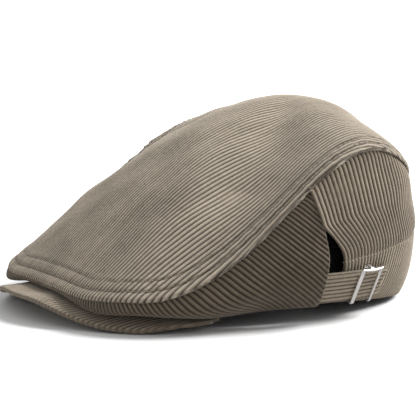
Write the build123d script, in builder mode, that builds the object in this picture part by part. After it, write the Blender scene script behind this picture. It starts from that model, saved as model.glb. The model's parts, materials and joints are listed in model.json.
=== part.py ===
"""Newsboy cap in corduroy: crown panels, peak, back band with strap and slider buckle, lining.

Frame: +Z up, -Y is the front (the peak), +X is the wearer's left. The origin is the centre of
the bounding box's underside, where the cap rests on a table on its back hem and peak edge.
All sizes are in millimetres. Crown surfaces are formulas of the turn angle about the centre of
the head opening, measured from the front towards the wearer's left, in degrees.
"""

from build123d import *
from math import atan2, ceil, cos, degrees, exp, hypot, radians, sin
import os

# Place of the head opening's centre in the part's frame
CENTRE_X = -2.12
CENTRE_Y = 6.66
CENTRE_Z = 0.0

# Cloth
CORDUROY = 1.3
SEAM_GAP = 0.15            # turn angle left open at each panel seam, degrees
SEAM_ALLOWANCE = 3.0      # from the top seam down to the edge of the side cloth
SEAM_STEP = 0.004         # height fraction left open at the band seam
TOP_REACH = 0.995         # share of the top panel's half width that the solid covers
LINING_THICKNESS = 0.4
LINING_DEPTH = 2.4         # from the outside of the crown to the lining

# Head opening (the hem of the crown)
HEM_HALF_WIDTH = 94.0
HEM_FRONT = 94.0
HEM_BACK = 109.0
HEM_Z_FRONT = 15.2
HEM_Z_SIDE = 9.6
HEM_Z_BACK = 0.0
HEM_DIP = 5.0              # the hem is drawn down where the peak ends
HEM_DIP_ANGLE = 57.0
HEM_DIP_SPREAD = 12.0

# Seam between the top panel and the sides
SEAM_HALF_WIDTH = 100.5
SEAM_FRONT = 111.5
SEAM_BACK = 92.0
SEAM_POWER = 3.34
SEAM_Z_FRONT = 20.0
SEAM_Z_TOP = 94.0          # highest, behind the ears
SEAM_RISE_START = 41.5
SEAM_RISE_END = 112.5
SEAM_FALL = 25.0           # from there down to the back
SEAM_FALL_START = 111.0
SEAM_FALL_END = 150.0
SEAM_DIP = 1.7             # beside the front seam
SEAM_DIP_ANGLE = 25.5
SEAM_DIP_SPREAD = 7.3

# Sides: how far the cubic in each upright section bulges past its ends (front, side, back)
LOW_FOLLOW = (1.0, 0.89, 0.0)
LOW_BULGE = (-3.0, 13.8, 13.7)
HIGH_FOLLOW = (1.2, 0.79, 0.46)
HIGH_BULGE = (3.0, 4.5, 10.9)
LOW_HEIGHT = 0.33
HIGH_HEIGHT = (0.75, 0.88)  # side, back
LIP_Z_FRONT = 15.2
LIP_Z_SIDE = 9.2
LIP_FALL_START = 7.0
LIP_FALL_END = 32.0
LIP_END_START = 45.0
LIP_END_END = 85.0

# Top panel
APEX_Y = 47.5
APEX_Z = 115.8
DOME_POWER = (1.93, 1.5, 2.2)
DOME_ROUND = (0.9, 0.94, 1.9)

# Slit behind the left ear, and the seam between side and back panels (angle at height fraction)
SIDE_EDGE = 93.3
SIDE_EDGE_TOP = 89.6
SLIT_APEX = 0.60           # height fraction of the slit's apex
BAND_FRONT = 103.0
SIDE_FLARE = 4.9           # the side panel stands off over the strap
BAND_TUCK = 4.2            # the band is drawn in under the buckle

# Back band
BAND_LOW = 22.7
BAND_HIGH = 43.8
BAND_SEAM_FALL = 60.0

# Peak
PEAK_ANGLE = 62.0
PEAK_LENGTH = 34.5
PEAK_POWER = 1.9
PEAK_SPAN = 0.955         # share of the peak's half angle that its layers cover
PEAK_ROOT_INSET = 2.5
PEAK_GAP = 0.6
PEAK_THICKNESS = 3.0
PEAK_END_THICKNESS = 1.8
PEAK_SLOPE = 0.295         # steepest droop, part way round each side
COVER_THICKNESS = 0.8
LAYER_GAP = 0.1
BOARD_INSET = 1.5

# Strap and buckle, all turned about one upright axis inside the cap, as slices of one cone
STRAP_AXIS_X = -38.0       # from the head opening's centre
STRAP_AXIS_Y = 7.9
STRAP_RADIUS = 137.8       # the strap's middle, at its mid height
STRAP_MID_Z = 19.4
STRAP_LEAN = 25.9          # the band narrows downwards
STRAP_WIDTH = 19.4
STRAP_THICKNESS = 2.0
STRAP_ROOT = 84.8          # turn angles about the strap's axis
STRAP_TIP = 108.4
BUCKLE_FRONT = 99.2
BUCKLE_REAR = 104.8
FRONT_BAR_WIDTH = 2.8
REAR_BAR_WIDTH = 1.6
CENTRE_BAR_WIDTH = 2.4
CENTRE_BAR_THICKNESS = 1.0
BAR_THICKNESS = 1.5
RAIL_WIDTH = 1.3
RAIL_ARCH = 0.9            # rise of the upper rail between the bars
LOW_RAIL_THICKNESS = 1.3
BUCKLE_CLEARANCE = 0.45
BAR_LIFT = 0.25             # of the bars off the strap where they are tangent to it
TAB_WIDTH = 15.0
TAB_THICKNESS = 0.6
TAB_END = 110.0
TACK_WIDTH = 0.6
TACK_HEIGHT = 0.4
TACK_TURNS = 6

# Sweatband
SWEATBAND_DEPTH = 3.2
SWEATBAND_THICKNESS = 1.0
SWEATBAND_HEIGHT = 28.0
SWEATBAND_LEAN_FRONT = 45.0
SWEATBAND_LEAN = 3.0

# Lining and facings
LINING_TOP_SHARE = 0.95    # reach of the top lining, as a share of the top panel
LINING_INSET = 5.0         # from the top seam in to the lining's own seam
LINING_DROP = 1.8
LINING_BULGE = 4.0
FACING_DEPTH = 1.6
FACING_THICKNESS = 0.6
FACING_ANGLE = 5.5


def blend(angle, front, side, back, power=2.0):
    """Value between front, side and back by the cosine of the turn angle."""
    c = cos(radians(angle))
    end = front if c > 0 else back
    return side + (end - side) * abs(c) ** power


def ramp(angle, low, high, start, end):
    """Smooth step of the turn angle, the same on both sides of the cap."""
    t = min(max((abs(wrap(angle)) - start) / (end - start), 0.0), 1.0)
    return low + (high - low) * t * t * (3 - 2 * t)


def wrap(angle):
    """Turn angle brought between -180 and 180 degrees."""
    return (angle + 180.0) % 360.0 - 180.0


def oval(angle, half_width, front, back, power=2.0):
    """Radius of a superellipse with its own front and back reach."""
    c = cos(radians(angle))
    s = abs(sin(radians(angle)))
    reach = front if c > 0 else back
    return ((s / half_width) ** power + (abs(c) / reach) ** power) ** (-1 / power)


def place(angle, radius, z):
    """Point in the part's frame at a turn angle, radius and height."""
    a = radians(angle)
    return (CENTRE_X + radius * sin(a), CENTRE_Y - radius * cos(a), CENTRE_Z + z)


def hem(angle):
    """Radius and height of the hem."""
    radius = oval(angle, HEM_HALF_WIDTH, HEM_FRONT, HEM_BACK)
    power = 2.0 if cos(radians(angle)) > 0 else 1.5
    z = blend(angle, HEM_Z_FRONT, HEM_Z_SIDE, HEM_Z_BACK, power)
    off = (abs(wrap(angle)) - HEM_DIP_ANGLE) / HEM_DIP_SPREAD
    return radius, z - HEM_DIP * exp(-off * off / 2)


def seam(angle):
    """Radius and height of the seam round the top panel."""
    radius = oval(angle, SEAM_HALF_WIDTH, SEAM_FRONT, SEAM_BACK, SEAM_POWER)
    z = ramp(angle, SEAM_Z_FRONT, SEAM_Z_TOP, SEAM_RISE_START, SEAM_RISE_END)
    off = (abs(wrap(angle)) - SEAM_DIP_ANGLE) / SEAM_DIP_SPREAD
    z -= ramp(angle, 0.0, SEAM_FALL, SEAM_FALL_START, SEAM_FALL_END)
    return radius, z - SEAM_DIP * exp(-off * off / 2)


def side_rz(angle, v):
    """Radius and height on the crown's side, v from 0 at the hem to 1 at the seam."""
    r0, z0 = hem(angle)
    r3, z3 = seam(angle)
    r1 = r0 + (r3 - r0) * blend(angle, *LOW_FOLLOW) + blend(angle, *LOW_BULGE)
    r2 = r0 + (r3 - r0) * blend(angle, *HIGH_FOLLOW) + blend(angle, *HIGH_BULGE)
    lip = ramp(angle, LIP_Z_FRONT, LIP_Z_SIDE, LIP_FALL_START, LIP_FALL_END)
    front = ramp(angle, 1.0, 0.0, LIP_END_START, LIP_END_END)
    high = blend(angle, HIGH_HEIGHT[0], HIGH_HEIGHT[0], HIGH_HEIGHT[1])
    z1 = front * (lip - 0.3) + (1 - front) * (z0 + (z3 - z0) * LOW_HEIGHT)
    z2 = front * (lip + 0.7) + (1 - front) * (z0 + (z3 - z0) * high)
    w = 1 - v
    radius = w**3 * r0 + 3 * w * w * v * r1 + 3 * w * v * v * r2 + v**3 * r3
    return radius, w**3 * z0 + 3 * w * w * v * z1 + 3 * w * v * v * z2 + v**3 * z3


def smooth(t):
    """Smooth step from 0 to 1."""
    t = min(max(t, 0.0), 1.0)
    return t * t * (3 - 2 * t)


def flare(angle, v):
    """Extra radius of the left side panel where the strap goes in behind it."""
    return SIDE_FLARE * smooth((angle - 72.0) / 20.0) * smooth((0.62 - v) / 0.3)


def tuck(angle, v):
    """Radius taken off the band and back panel under the buckle."""
    return BAND_TUCK * smooth((150.0 - angle) / 28.0) * smooth((0.62 - v) / 0.35)


def side_edge(v):
    """Turn angle of the side panel's rear edge."""
    return SIDE_EDGE + (SIDE_EDGE_TOP - SIDE_EDGE) * max(v - SLIT_APEX, 0) / (1 - SLIT_APEX)


def slit_edge(v):
    """Turn angle of the slit's rear edge, on the back panel and the band."""
    if v > SLIT_APEX:
        return side_edge(v) + SEAM_GAP
    opening = BAND_FRONT - SIDE_EDGE
    return SIDE_EDGE + SEAM_GAP + (opening - SEAM_GAP) * smooth((SLIT_APEX - v) / 0.32)


def band_height(angle):
    """Height of the back band above the hem."""
    t = min(max((abs(wrap(angle)) - 100.0) / BAND_SEAM_FALL, 0.0), 1.0)
    return BAND_LOW + (BAND_HIGH - BAND_LOW) * t


def band_v(angle):
    """Height fraction of the seam between the back band and the back panel."""
    target = hem(angle)[1] + band_height(angle)
    low, high = 0.0, 1.0
    for _ in range(30):
        middle = (low + high) / 2
        if side_rz(angle, middle)[1] < target:
            low = middle
        else:
            high = middle
    return (low + high) / 2


def inward(point, depth):
    """Formula of a surface sunk below another, square to it; point(u, v) gives a position."""

    def sunk(u, v):
        du = 1e-3 if u < 0.5 else -1e-3
        dv = 1e-3 if v < 0.5 else -1e-3
        here = Vector(*point(u, v))
        along = (Vector(*point(u + du, v)) - here) / du
        across = (Vector(*point(u, v + dv)) - here) / dv
        normal = along.cross(across).normalized()
        return tuple(here - normal * depth)

    return sunk


def surface(point, across, along):
    """Spline face through point(u, v)."""
    grid = [[point(i / across, j / along) for j in range(along + 1)] for i in range(across + 1)]
    return Face.make_surface_from_array_of_points(grid, tol=0.02)


def closed(outside, inside):
    """Solid between two faces of the same layout, closed by ruled faces round the edge."""
    rim = []
    for edge in outside.edges():
        mate = inside.edges().sort_by_distance(edge.center())[0]
        rim.append(Face.make_surface_from_curves(edge, mate))
    return Solid(Shell([outside, inside] + rim))


def sheet(point, across, along, thickness, depth=0.0):
    """Cloth solid under the surface point(u, v), which runs so that its outside faces out."""
    outside = surface(inward(point, depth) if depth else point, across, along)
    return closed(outside, surface(inward(point, depth + thickness), across, along))


def finish(builder, name, colour):
    """Label and colour a piece, and write its STEP file."""
    builder.part.label = name
    builder.part.color = Color(*colour)
    export_step(builder.part, f"parts/{name}.step")


CLOTH = (0.42, 0.37, 0.30)
DARK = (0.06, 0.055, 0.05)
METAL = (0.75, 0.75, 0.76)
BOARD = (0.85, 0.85, 0.82)
THREAD = (0.50, 0.45, 0.37)
os.makedirs("parts", exist_ok=True)


def side_top(angle):
    """Height fraction where the side's cloth stops, just below the top panel."""
    r3, z3 = seam(angle)
    low, high = 0.8, 1.0
    for _ in range(25):
        middle = (low + high) / 2
        r, z = side_rz(angle, middle)
        if hypot(r - r3, z - z3) > SEAM_ALLOWANCE:
            low = middle
        else:
            high = middle
    return (low + high) / 2


def seam_point(angle):
    """Seam position about the centre of the head opening, in plan."""
    radius = seam(angle)[0]
    return radius * sin(radians(angle)), -radius * cos(radians(angle))


def solve(rising, target, low, high):
    """Argument between low and high at which a rising function reaches the target."""
    for _ in range(40):
        middle = (low + high) / 2
        if rising(middle) < target:
            low = middle
        else:
            high = middle
    return (low + high) / 2


def dome_z(x, y):
    """Height of the top panel's outside over a plan position about the head opening's centre."""
    bearing = atan2(abs(x), APEX_Y - y)

    def bearing_of(angle):
        px, py = seam_point(angle)
        return atan2(px, APEX_Y - py)

    angle = solve(bearing_of, bearing, 0.0, 180.0)
    px, py = seam_point(angle)
    q = min(hypot(x, y - APEX_Y) / hypot(px, py - APEX_Y), 1.0)
    rise = (1 - q ** blend(angle, *DOME_POWER)) ** (1 / blend(angle, *DOME_ROUND))
    z = seam(angle)[1]
    return z + (APEX_Z - z) * rise


def top_point(half_width, shrink):
    """Formula of the top panel over u from right to left and v from front to back."""

    def point(u, v):
        x = half_width * sin(radians(90 * (2 * u - 1)))
        front = solve(lambda a: seam_point(a)[0], abs(x), 0.0, 90.0)
        back = solve(lambda a: -seam_point(a)[0], -abs(x), 90.0, 180.0)
        y_front = seam_point(front)[1] * shrink
        y_back = seam_point(back)[1] * shrink
        y = y_front + (y_back - y_front) * (1 - cos(radians(180 * v))) / 2
        return (CENTRE_X + x, CENTRE_Y + y, CENTRE_Z + dome_z(x, y))

    return point


def side_point(angle, v):
    """Point on the outside of the crown's side."""
    return place(angle, *side_rz(angle, v))


# Crown: one top panel, two side panels that meet at the front, one back panel
with BuildPart() as top_panel:
    add(sheet(top_point(SEAM_HALF_WIDTH * TOP_REACH, 1.0), 24, 24, CORDUROY))
finish(top_panel, "top_panel", CLOTH)


def left_side(u, v):
    """Left side panel, standing off over the strap's pocket."""
    angle = SEAM_GAP + u * (side_edge(v) - SEAM_GAP)
    t = v * side_top(angle)
    radius, z = side_rz(angle, t)
    return place(angle, radius + flare(angle, t), z)


def right_side(u, v):
    """Right side panel."""
    angle = -side_edge(v) + u * (side_edge(v) - SEAM_GAP)
    return side_point(angle, v * side_top(angle))


def back_side(u, v):
    """Back panel, from the slit's rear edge round to the right side panel."""
    height = v * side_top(180.0)
    start = slit_edge(band_v(BAND_FRONT) * (1 - v) + height * v)
    end = 360.0 - side_edge(height) - SEAM_GAP
    angle = start + u * (end - start)
    low = band_v(angle)
    t = low + SEAM_STEP + v * (side_top(angle) - low - SEAM_STEP)
    radius, z = side_rz(angle, t)
    return place(angle, radius - tuck(angle, t), z)


with BuildPart() as side_panel_left:
    add(sheet(left_side, 30, 16, CORDUROY))
finish(side_panel_left, "side_panel_left", CLOTH)

with BuildPart() as side_panel_right:
    add(sheet(right_side, 30, 16, CORDUROY))
finish(side_panel_right, "side_panel_right", CLOTH)

with BuildPart() as back_panel:
    add(sheet(back_side, 36, 14, CORDUROY))
finish(back_panel, "back_panel", CLOTH)


def band(u, v):
    """Back band, from the slit to the right side panel's rear seam."""
    end = 360.0 - SIDE_EDGE - SEAM_GAP
    angle = BAND_FRONT + u * (end - BAND_FRONT)
    t = v * (band_v(angle) - SEAM_STEP)
    radius, z = side_rz(angle, t)
    return place(angle, radius - tuck(angle, t), z)


with BuildPart() as back_band:
    add(sheet(band, 36, 6, CORDUROY))
finish(back_band, "back_band", CLOTH)


# Peak: a stiff board between an upper and a lower cover, sewn up under the front hem
def peak_reach(angle):
    """Length of the peak beyond the hem."""
    t = min(abs(angle) / PEAK_ANGLE, 1.0)
    return PEAK_LENGTH * (1 - t**PEAK_POWER) ** (1 / PEAK_POWER)


def peak_thickness(angle):
    """Thickness of the whole peak, thinner at its two ends."""
    return ramp(angle, PEAK_THICKNESS, PEAK_END_THICKNESS, 40.0, PEAK_ANGLE)


def peak_under(angle, reach):
    """Point on the peak's underside at a distance beyond the hem."""
    radius, z = hem(angle)
    slope = ramp(angle, 0.0, PEAK_SLOPE, 6.0, 35.0) - ramp(angle, 0.0, PEAK_SLOPE, 38.0, 57.0)
    z -= PEAK_GAP + peak_thickness(angle) + slope * reach
    return place(angle, radius + reach, z)


def peak_layer(bottom, top, inset):
    """Closed layer of the peak between two fractions of its thickness."""
    span = PEAK_ANGLE * PEAK_SPAN

    def layer(level):
        def point(u, v):
            angle = span * (2 * u - 1)
            reach = -PEAK_ROOT_INSET + v * (peak_reach(angle) - inset + PEAK_ROOT_INSET)
            x, y, z = peak_under(angle, reach)
            return (x, y, z + peak_thickness(angle) * level)

        return point

    return closed(surface(layer(top), 30, 8), surface(layer(bottom), 30, 8))


COVER_SHARE = COVER_THICKNESS / PEAK_THICKNESS
GAP_SHARE = LAYER_GAP / PEAK_THICKNESS

with BuildPart() as peak_upper_cover:
    add(peak_layer(1 - COVER_SHARE, 1.0, 0.0))
finish(peak_upper_cover, "peak_upper_cover", CLOTH)

with BuildPart() as peak_board:
    add(peak_layer(COVER_SHARE + GAP_SHARE, 1 - COVER_SHARE - GAP_SHARE, BOARD_INSET))
finish(peak_board, "peak_board", BOARD)

with BuildPart() as peak_lower_cover:
    add(peak_layer(0.0, COVER_SHARE, 0.0))
finish(peak_lower_cover, "peak_lower_cover", CLOTH)


# Strap: a doubled corduroy strip that leaves the pocket behind the left side panel
def cone_slice(low, high, inner, outer, start, end):
    """Slice of the strap's cone: low to high up its slope, inner to outer square to it."""
    lean = radians(STRAP_LEAN)
    along, out = (low + high) / 2, (inner + outer) / 2
    radius = STRAP_RADIUS + along * sin(lean) + out * cos(lean)
    height = CENTRE_Z + STRAP_MID_Z + along * cos(lean) - out * sin(lean)
    a = radians(start)
    section = Plane(strap_axis.position, x_dir=(sin(a), -cos(a), 0), z_dir=(-cos(a), -sin(a), 0))
    with BuildPart(mode=Mode.PRIVATE) as piece:
        with BuildSketch(section):
            with Locations((radius, height)):
                Rectangle(outer - inner, high - low, rotation=-STRAP_LEAN)
        revolve(axis=strap_axis, revolution_arc=end - start)
    return piece.part


strap_axis = Axis((CENTRE_X + STRAP_AXIS_X, CENTRE_Y + STRAP_AXIS_Y, 0), (0, 0, 1))
half_strap = STRAP_WIDTH / 2
strap_face = STRAP_THICKNESS / 2

with BuildPart() as strap:
    add(cone_slice(-half_strap, half_strap, -strap_face, strap_face, STRAP_ROOT, STRAP_TIP))
    corners = strap.edges().filter_by(lambda edge: edge.length < 1.5 * STRAP_THICKNESS)
    tip_corners = corners.sort_by_distance(strap.faces().sort_by(Axis.Y)[-1].center())[:2]
    fillet(tip_corners, radius=2.0)
finish(strap, "strap", CLOTH)


def strap_plane(angle):
    """Plane on the strap's outside at a turn angle, x along the strap, y up its width."""
    a, lean = radians(angle), radians(STRAP_LEAN)
    radius = STRAP_RADIUS + strap_face * cos(lean)
    origin = strap_axis.position + Vector(radius * sin(a), -radius * cos(a),
                                          CENTRE_Z + STRAP_MID_Z - strap_face * sin(lean))
    outward = Vector(sin(a) * cos(lean), -cos(a) * cos(lean), -sin(lean))
    return Plane(origin, x_dir=(cos(a), sin(a), 0), z_dir=outward)


# Buckle: two bars over the strap, an arched upper rail, a lower rail turned in behind the strap,
# and a centre bar under it that the tab goes round
buckle_plane = strap_plane((BUCKLE_FRONT + BUCKLE_REAR) / 2).offset(BAR_LIFT)
half_buckle = radians(BUCKLE_REAR - BUCKLE_FRONT) / 2 * STRAP_RADIUS
rail_y = half_strap + BUCKLE_CLEARANCE + RAIL_WIDTH / 2
front_bar_x = -half_buckle
rear_bar_x = half_buckle
rail_end = half_buckle + FRONT_BAR_WIDTH / 2
centre_bar_z = -BAR_LIFT - STRAP_THICKNESS - BUCKLE_CLEARANCE - TAB_THICKNESS - LAYER_GAP
low_rail_z = centre_bar_z - CENTRE_BAR_THICKNESS
rail_origin = buckle_plane.from_local_coords(Vector(0, rail_y, 0))

with BuildPart() as buckle:
    with BuildSketch(buckle_plane):
        with Locations((front_bar_x, 0)):
            Rectangle(FRONT_BAR_WIDTH, 2 * rail_y)
        with Locations((rear_bar_x, 0)):
            Rectangle(REAR_BAR_WIDTH, 2 * rail_y)
    extrude(amount=BAR_THICKNESS)
    with BuildSketch(buckle_plane.offset(low_rail_z)):
        Rectangle(CENTRE_BAR_WIDTH, 2 * rail_y)
    extrude(amount=CENTRE_BAR_THICKNESS)
    with BuildSketch(Plane(rail_origin, x_dir=buckle_plane.x_dir, z_dir=-buckle_plane.y_dir)):
        with BuildLine():
            ThreePointArc((-rail_end, 0), (0, RAIL_ARCH), (rail_end, 0))
            Line((rail_end, 0), (rail_end, BAR_THICKNESS))
            ThreePointArc((rail_end, BAR_THICKNESS), (0, RAIL_ARCH + BAR_THICKNESS),
                          (-rail_end, BAR_THICKNESS))
            Line((-rail_end, BAR_THICKNESS), (-rail_end, 0))
        make_face()
        leg_top = RAIL_ARCH + BAR_THICKNESS / 2
        with Locations((0, (leg_top + low_rail_z) / 2)):
            Rectangle(CENTRE_BAR_WIDTH, leg_top - low_rail_z)
    extrude(amount=RAIL_WIDTH / 2, both=True)
    with BuildSketch(buckle_plane.offset(low_rail_z)):
        with Locations((0, -rail_y)):
            Rectangle(2 * rail_end, RAIL_WIDTH)
    extrude(amount=LOW_RAIL_THICKNESS)
    with BuildSketch(buckle_plane.offset(low_rail_z)):
        with Locations((front_bar_x, -rail_y)):
            Rectangle(FRONT_BAR_WIDTH, RAIL_WIDTH)
        with Locations((rear_bar_x, -rail_y)):
            Rectangle(REAR_BAR_WIDTH, RAIL_WIDTH)
    extrude(amount=BAR_THICKNESS - low_rail_z)
finish(buckle, "buckle", METAL)

# Tab: a tape loop round the centre bar, sewn down on the band behind it
half_tab = TAB_WIDTH / 2
tab_top = -strap_face - BUCKLE_CLEARANCE
tab_bottom = tab_top - 2 * TAB_THICKNESS - 2 * LAYER_GAP - CENTRE_BAR_THICKNESS
buckle_middle = (BUCKLE_FRONT + BUCKLE_REAR) / 2
nose_end = buckle_middle - degrees((CENTRE_BAR_WIDTH / 2 + LAYER_GAP) / STRAP_RADIUS)
nose_start = nose_end - degrees(TAB_THICKNESS / STRAP_RADIUS)

with BuildPart() as buckle_tab:
    add(cone_slice(-half_tab, half_tab, tab_bottom, tab_top, nose_start, nose_end))
    for inner in (tab_bottom, tab_top - TAB_THICKNESS):
        outer = inner + TAB_THICKNESS
        add(cone_slice(-half_tab, half_tab, inner, outer, nose_start, TAB_END))
finish(buckle_tab, "buckle_tab", CLOTH)


with BuildPart() as strap_tack:
    tack_plane = strap_plane(STRAP_TIP - 0.9)
    tack_rise = (STRAP_WIDTH - 5.0) / TACK_TURNS
    with BuildSketch(tack_plane):
        with BuildLine() as zigzag:
            Polyline([((i % 2) * 1.8 - 0.9, (i - TACK_TURNS / 2) * tack_rise)
                      for i in range(TACK_TURNS + 1)])
        trace(line_width=TACK_WIDTH)
    extrude(amount=TACK_HEIGHT)
finish(strap_tack, "strap_tack", THREAD)


# Sweatband: a tape inside the hem, open at the slit, laid back under the low front
def sweatband_point(u, v):
    start = BAND_FRONT + 0.5
    angle = start + u * (SIDE_EDGE - 0.3 + 360.0 - start)
    radius, z = hem(angle)
    lean = radians(blend(angle, SWEATBAND_LEAN_FRONT, SWEATBAND_LEAN, SWEATBAND_LEAN))
    radius -= SWEATBAND_DEPTH + tuck(angle, 0) + v * SWEATBAND_HEIGHT * sin(lean)
    return place(angle, radius, z + 1.0 + v * SWEATBAND_HEIGHT * cos(lean))


with BuildPart() as sweatband:
    add(sheet(sweatband_point, 60, 4, SWEATBAND_THICKNESS))
finish(sweatband, "sweatband", DARK)


# Lining: a top and three sides, hung from the top seam down to the sweatband
def lining_side(start, end):
    """Lining between two turn angles, from the sweatband's top to the top seam."""

    def point(u, v):
        angle = start + u * (end - start)
        radius, z = hem(angle)
        lean = radians(blend(angle, SWEATBAND_LEAN_FRONT, SWEATBAND_LEAN, SWEATBAND_LEAN))
        low_r = radius - SWEATBAND_DEPTH - tuck(angle, 0) - SWEATBAND_HEIGHT * sin(lean)
        low_z = z + 1.8 + SWEATBAND_HEIGHT * cos(lean)
        high_r, high_z = seam(angle)
        bulge = LINING_BULGE * blend(angle, 0.0, 1.0, 1.0) * 4 * v * (1 - v)
        r = low_r + v * (high_r - LINING_INSET - low_r) + bulge
        return place(angle, r, low_z + v * (high_z - LINING_DROP - low_z))

    return sheet(point, 30, 8, LINING_THICKNESS)


with BuildPart() as lining_left:
    add(lining_side(360.0 + SEAM_GAP, 360.0 + SIDE_EDGE - 0.3))
finish(lining_left, "lining_left", DARK)

with BuildPart() as lining_right:
    add(lining_side(360.0 - SIDE_EDGE, 360.0 - SEAM_GAP))
finish(lining_right, "lining_right", DARK)

with BuildPart() as lining_back:
    add(lining_side(BAND_FRONT + 0.5, 360.0 - SIDE_EDGE - 0.3))
finish(lining_back, "lining_back", DARK)

with BuildPart() as lining_top:
    reach = SEAM_HALF_WIDTH * LINING_TOP_SHARE
    add(sheet(top_point(reach, LINING_TOP_SHARE), 20, 20, LINING_THICKNESS, LINING_DEPTH))
finish(lining_top, "lining_top", DARK)


# Facings: narrow turnings inside the slit's two edges, above the strap
def front_facing(u, v):
    t = 0.36 + v * (SLIT_APEX - 0.36)
    angle = SIDE_EDGE - 0.2 - (1 - u) * FACING_ANGLE
    radius, z = side_rz(angle, t)
    return place(angle, radius + flare(angle, t), z)


def rear_facing(u, v):
    t = band_v(BAND_FRONT) + 0.02 + v * (SLIT_APEX - band_v(BAND_FRONT) - 0.03)
    angle = slit_edge(t) + 0.2 + u * FACING_ANGLE
    radius, z = side_rz(angle, t)
    return place(angle, radius - tuck(angle, t), z)


with BuildPart() as slit_facing_front:
    add(sheet(front_facing, 4, 8, FACING_THICKNESS, FACING_DEPTH))
finish(slit_facing_front, "slit_facing_front", CLOTH)

with BuildPart() as slit_facing_rear:
    add(sheet(rear_facing, 4, 8, FACING_THICKNESS, FACING_DEPTH))
finish(slit_facing_rear, "slit_facing_rear", CLOTH)
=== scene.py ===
"""Corduroy newsboy cap: cloth panels with real ribs, stitches, peak, strap, buckle and lining.

The crown's surfaces are the same formulas of the turn angle as in the CAD part: the angle runs
about the centre of the head opening, from the front towards the wearer's left, in degrees.
They leave the CAD surface in two places: the lip sags onto the peak by LIP_SAG, and the side and
back panels end lower at the top seam by SEAM_TUCK. Sizes are in millimetres and become metres
when a mesh is made.
"""

import json
from math import cos, pi, radians, sin, tau

import bpy
import numpy as np
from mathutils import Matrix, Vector
from mathutils.bvhtree import BVHTree
from mathutils.kdtree import KDTree

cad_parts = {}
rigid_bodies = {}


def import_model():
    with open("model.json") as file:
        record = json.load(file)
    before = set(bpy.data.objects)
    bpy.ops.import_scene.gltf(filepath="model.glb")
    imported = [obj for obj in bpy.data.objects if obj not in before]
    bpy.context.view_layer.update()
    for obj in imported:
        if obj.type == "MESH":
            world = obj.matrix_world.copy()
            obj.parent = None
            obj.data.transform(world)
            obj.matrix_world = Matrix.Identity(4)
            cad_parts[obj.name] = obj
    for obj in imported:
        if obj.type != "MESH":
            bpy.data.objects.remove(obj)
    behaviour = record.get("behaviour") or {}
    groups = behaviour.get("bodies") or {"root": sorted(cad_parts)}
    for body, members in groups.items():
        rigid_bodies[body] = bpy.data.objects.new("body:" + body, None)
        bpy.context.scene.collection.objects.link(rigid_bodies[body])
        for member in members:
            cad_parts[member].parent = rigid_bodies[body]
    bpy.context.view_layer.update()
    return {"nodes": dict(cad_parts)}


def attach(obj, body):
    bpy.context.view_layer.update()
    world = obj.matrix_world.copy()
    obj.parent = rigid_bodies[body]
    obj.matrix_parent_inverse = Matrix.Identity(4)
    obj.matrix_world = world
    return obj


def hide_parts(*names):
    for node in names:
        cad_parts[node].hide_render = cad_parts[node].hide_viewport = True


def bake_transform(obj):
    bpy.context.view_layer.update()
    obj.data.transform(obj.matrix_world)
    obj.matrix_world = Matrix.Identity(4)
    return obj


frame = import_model()

MM = 0.001

# Place of the head opening's centre
CENTRE = np.array([-2.12, 6.66, 0.0])

# Cloth
CLOTH = 1.3
WALE_PITCH = 2.5
WALE_HEIGHT = 0.72
WALE_STEPS = 6             # grid columns to each rib, where the grid runs along the ribs
FINE_STEP = 0.45           # grid spacing where the ribs cross the grid
SIDE_LENGTH, SIDE_HEIGHT = 185, 78  # longest run along a side panel and up it
BACK_LENGTH, BAND_LENGTH = 312, 292  # round the back panel and the back band
GRAIN_ANGLES = ((0, 78), (18, 74), (35, 60), (55, 46), (75, 40), (100, 38))  # turn, slant of the ribs

# Head opening
HEM = (94.0, 94.0, 109.0)  # half width, front, back
HEM_Z = (15.2, 9.6, 0.0)   # front, side, back
HEM_DIP, HEM_DIP_ANGLE, HEM_DIP_SPREAD = 5.0, 57.0, 12.0

# Seam round the top panel
SEAM = (100.5, 111.5, 92.0)
SEAM_POWER = 3.34
SEAM_Z_FRONT, SEAM_Z_TOP = 20.0, 94.0
SEAM_RISE = (41.5, 112.5)
SEAM_FALL, SEAM_FALL_ANGLES = 25.0, (111.0, 150.0)
SEAM_DIP, SEAM_DIP_ANGLE, SEAM_DIP_SPREAD = 1.7, 25.5, 7.3

# Sides (front, side, back)
LOW_FOLLOW, LOW_BULGE = (1.0, 0.89, 0.0), (-3.0, 13.8, 13.7)
HIGH_FOLLOW, HIGH_BULGE = (1.2, 0.79, 0.46), (3.0, 4.5, 10.9)
LOW_HEIGHT = 0.33
HIGH_HEIGHT = (0.75, 0.75, 0.88)
LIP_Z_FRONT, LIP_Z_SIDE = 15.2, 9.2
LIP_FALL, LIP_END = (7.0, 32.0), (45.0, 85.0)
LIP_SAG, LIP_SAG_ANGLE, LIP_SAG_SPREAD = 1.2, 31.0, 9.0  # of the soft lip onto the peak
FRONT_GAP = 0.05           # turn angle left open at the front seam
SEAM_TUCK = 1.3            # the sides' cloth ends this far below the top seam

# Top panel
APEX_Y, APEX_Z = 47.5, 115.8
DOME_POWER, DOME_ROUND = (1.93, 1.5, 2.2), (0.9, 0.94, 1.9)
STITCH_ROWS = (5.0, 12.0)  # distances of the topstitching from the seam
SEAM_OVERLAP = 1.7         # the top panel's turned edge hangs this far over the side

# Slit and back band
SIDE_EDGE, SIDE_EDGE_TOP, SLIT_APEX = 93.3, 89.6, 0.60
BAND_FRONT = 103.0
SIDE_FLARE, BAND_TUCK = 4.9, 4.2
FACING_DEPTH, FACING_ANGLE = 1.7, 5.5  # inside the panel, and back from the slit's edge
BAND_LOW, BAND_HIGH, BAND_SEAM_FALL = 22.7, 43.8, 60.0

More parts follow.
